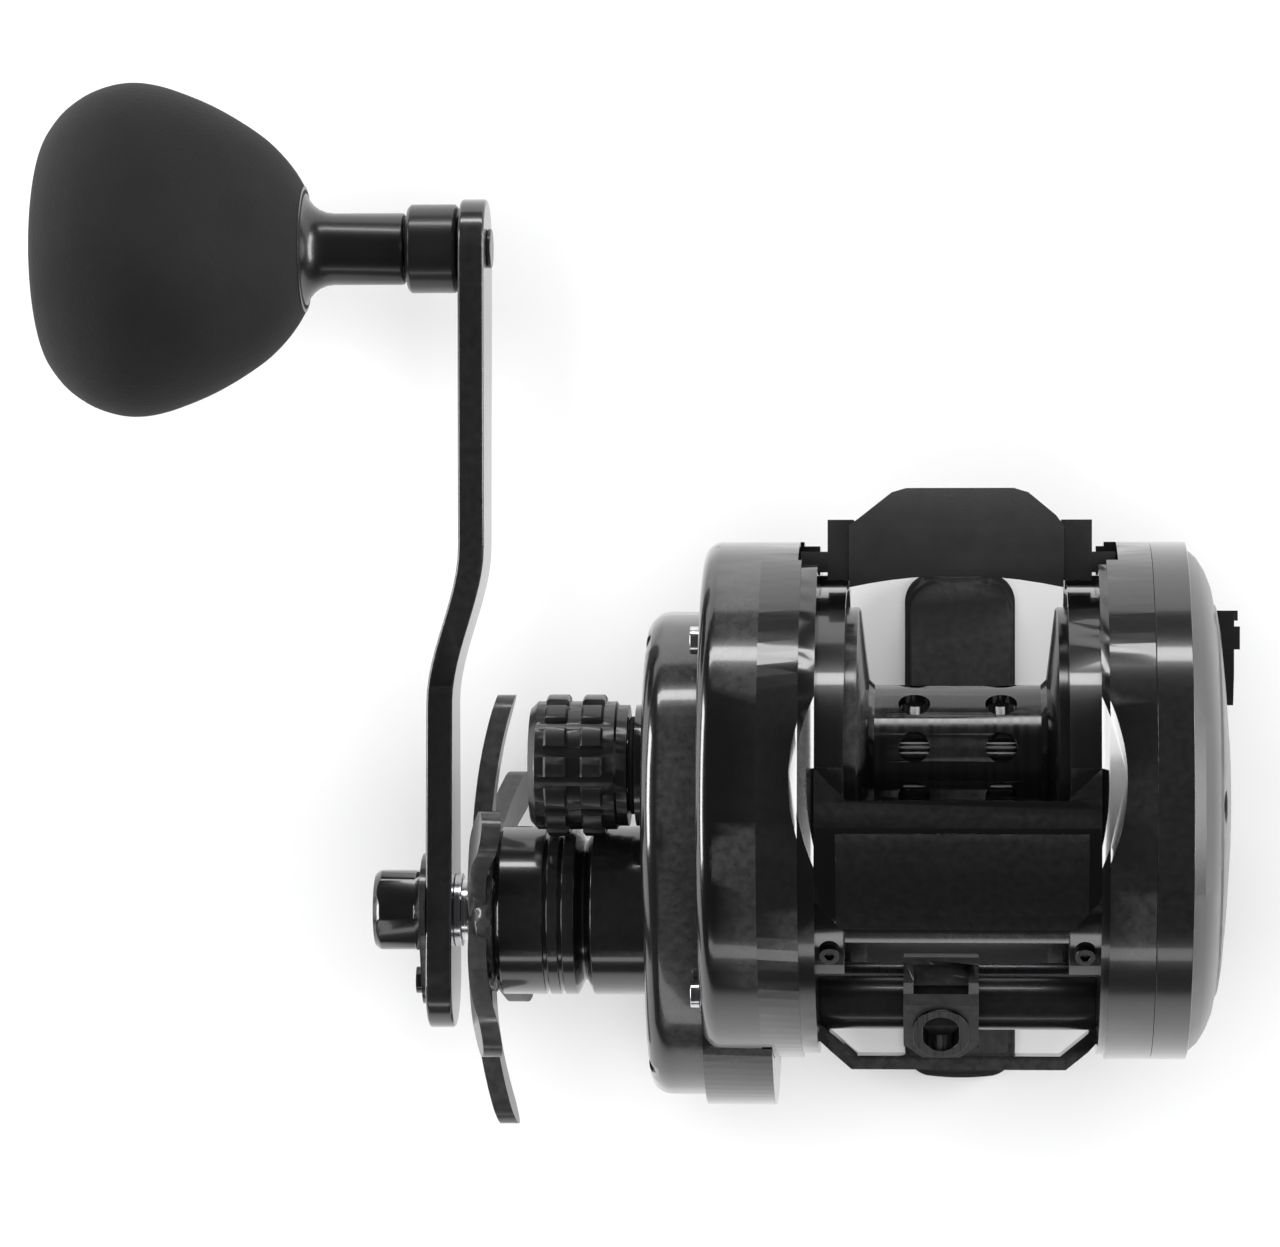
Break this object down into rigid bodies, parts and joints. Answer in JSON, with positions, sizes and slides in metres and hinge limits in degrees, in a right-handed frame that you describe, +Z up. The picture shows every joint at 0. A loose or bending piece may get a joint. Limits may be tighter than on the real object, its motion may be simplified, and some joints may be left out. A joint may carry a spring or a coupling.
{
  "type": "trolling reel",
  "caption": "Round level-wind trolling reel with a long power handle, foam knob, star drag, cast control cap, thumb bar clutch and a rod foot.",
  "frame": {"origin": "middle of the reel foot's underside, where it rests on a rod's reel seat", "axes": "+X along the spool axis towards the palm side plate, +Y to the rear (thumb bar), +Z up away from the rod"},
  "size_m": [0.1707, 0.1484, 0.078],
  "materials": {
    "black_anodised": "gloss black anodised",
    "gloss_black": "polished black",
    "satin_black": "satin black",
    "matte_black_metal": "matte black",
    "graphite_satin": "satin graphite",
    "spool_black": "gloss black anodised, machined",
    "handle_black": "gloss black anodised",
    "bright_steel": "bright",
    "dark_steel": "blackened",
    "gear_brass": "machined",
    "drag_fibre": "woven carbon fibre",
    "gear_nylon": "moulded nylon",
    "eva_foam": "matte closed-cell foam",
    "thumb_bar_black": "fine matte texture",
    "seal_rubber": "matte",
    "black_plastic": "satin"
  },
  "bodies": {
    "reel_body": {"frame": "black_anodised", "front_hood": "gloss_black", "hood_screws": "dark_steel", "reel_foot": "matte_black_metal", "foot_rivets": "dark_steel", "handle_side_plate": "black_anodised", "side_plate_screws": "bright_steel", "gear_box_cover": "black_anodised", "cover_screws": "dark_steel", "clutch_housing": "black_anodised", "one_way_bearing": "bright_steel", "drive_bearing": "bright_steel", "pinion_bearing": "bright_steel", "yoke_posts": "bright_steel", "dog_pin": "bright_steel", "palm_side_plate": "black_anodised", "palm_cap": "graphite_satin", "palm_screws": "dark_steel", "brake_drum": "gear_brass", "spool_bearings": "bright_steel", "worm_tube": "satin_black", "worm_bushes": "gear_nylon", "guide_rod": "dark_steel", "cap_o_ring": "seal_rubber", "yoke_springs": "bright_steel"},
    "spool_body": {"spool": "spool_black", "spool_shaft": "bright_steel", "click_gear": "gear_brass", "brake_hub": "black_plastic"},
    "crank": {"drive_shaft": "bright_steel", "main_gear": "gear_brass", "drag_washers": "drag_fibre", "pressure_plate": "bright_steel", "drag_sleeve": "bright_steel", "ratchet_wheel": "dark_steel", "level_wind_drive_gear": "gear_nylon", "handle_spacers": "bright_steel", "handle_arm": "handle_black", "handle_nut": "handle_black", "nut_retainer": "handle_black", "knob_spindle": "satin_black", "spring_washers": "bright_steel"},
    "star": {"star_drag": "satin_black", "drag_nut": "bright_steel"},
    "knob": {"knob_foam": "eva_foam", "knob_sleeve": "satin_black", "knob_end_cap": "satin_black", "knob_bearings": "bright_steel"},
    "cast_control": {"cast_control_cap": "satin_black", "tension_washer": "gear_brass"},
    "yoke": {"clutch_yoke": "gear_brass"},
    "pinion_gear": {"pinion": "gear_brass"},
    "worm": {"worm_shaft": "bright_steel", "worm_gear": "gear_nylon"},
    "guide": {"line_guide": "satin_black", "eye_insert": "dark_steel", "pawl": "gear_brass"},
    "thumb": {"thumb_bar": "thumb_bar_black"},
    "clicker": {"click_switch": "black_plastic"},
    "dog": {"anti_reverse_dog": "gear_brass"}
  },
  "joints": [
    {"name": "handle_turn", "type": "hinge", "parent": "reel_body", "child": "crank", "pos_m": [-0.06, -0.011, 0.03369], "axis": [1, 0, 0], "continuous": true},
    {"name": "knob_spin", "type": "hinge", "parent": "crank", "child": "knob", "pos_m": [-0.105, 0.083, 0.03369], "axis": [1, 0, 0], "continuous": true},
    {"name": "star_turn", "type": "hinge", "parent": "crank", "child": "star", "pos_m": [-0.067, -0.011, 0.03369], "axis": [1, 0, 0], "range_deg": [-120, 180]},
    {"name": "cast_cap_turn", "type": "hinge", "parent": "reel_body", "child": "cast_control", "pos_m": [-0.053, 0.0098, 0.042], "axis": [1, 0, 0], "range_deg": [-180, 180]},
    {"name": "spool_spin", "type": "hinge", "parent": "reel_body", "child": "spool_body", "pos_m": [0, 0.0098, 0.042], "axis": [1, 0, 0], "continuous": true},
    {"name": "thumb_bar_press", "type": "slide", "parent": "reel_body", "child": "thumb", "axis": [0, 0, -1], "range_m": [0, 0.005]},
    {"name": "yoke_slide", "type": "slide", "parent": "reel_body", "child": "yoke", "axis": [-1, 0, 0], "range_m": [0, 0.0016]},
    {"name": "pinion_spin", "type": "hinge", "parent": "yoke", "child": "pinion_gear", "pos_m": [-0.032, 0.0098, 0.042], "axis": [1, 0, 0], "continuous": true},
    {"name": "worm_spin", "type": "hinge", "parent": "reel_body", "child": "worm", "pos_m": [0, -0.0234, 0.03974], "axis": [1, 0, 0], "continuous": true},
    {"name": "line_guide_slide", "type": "slide", "parent": "reel_body", "child": "guide", "axis": [1, 0, 0], "range_m": [-0.0078, 0.0124]},
    {"name": "click_slide", "type": "slide", "parent": "reel_body", "child": "clicker", "axis": [0, -1, 0], "range_m": [0, 0.004]},
    {"name": "dog_lift", "type": "hinge", "parent": "reel_body", "child": "dog", "pos_m": [-0.031, 0.004, 0.0155], "axis": [1, 0, 0], "range_deg": [0, 12]}
  ],
  "couplings": [
    {"joint": "spool_spin", "follows": "handle_turn", "ratio": -5.4},
    {"joint": "pinion_spin", "follows": "handle_turn", "ratio": -5.4},
    {"joint": "worm_spin", "follows": "handle_turn", "ratio": -1.875},
    {"joint": "yoke_slide", "follows": "thumb_bar_press", "ratio": 0.32}
  ]
}
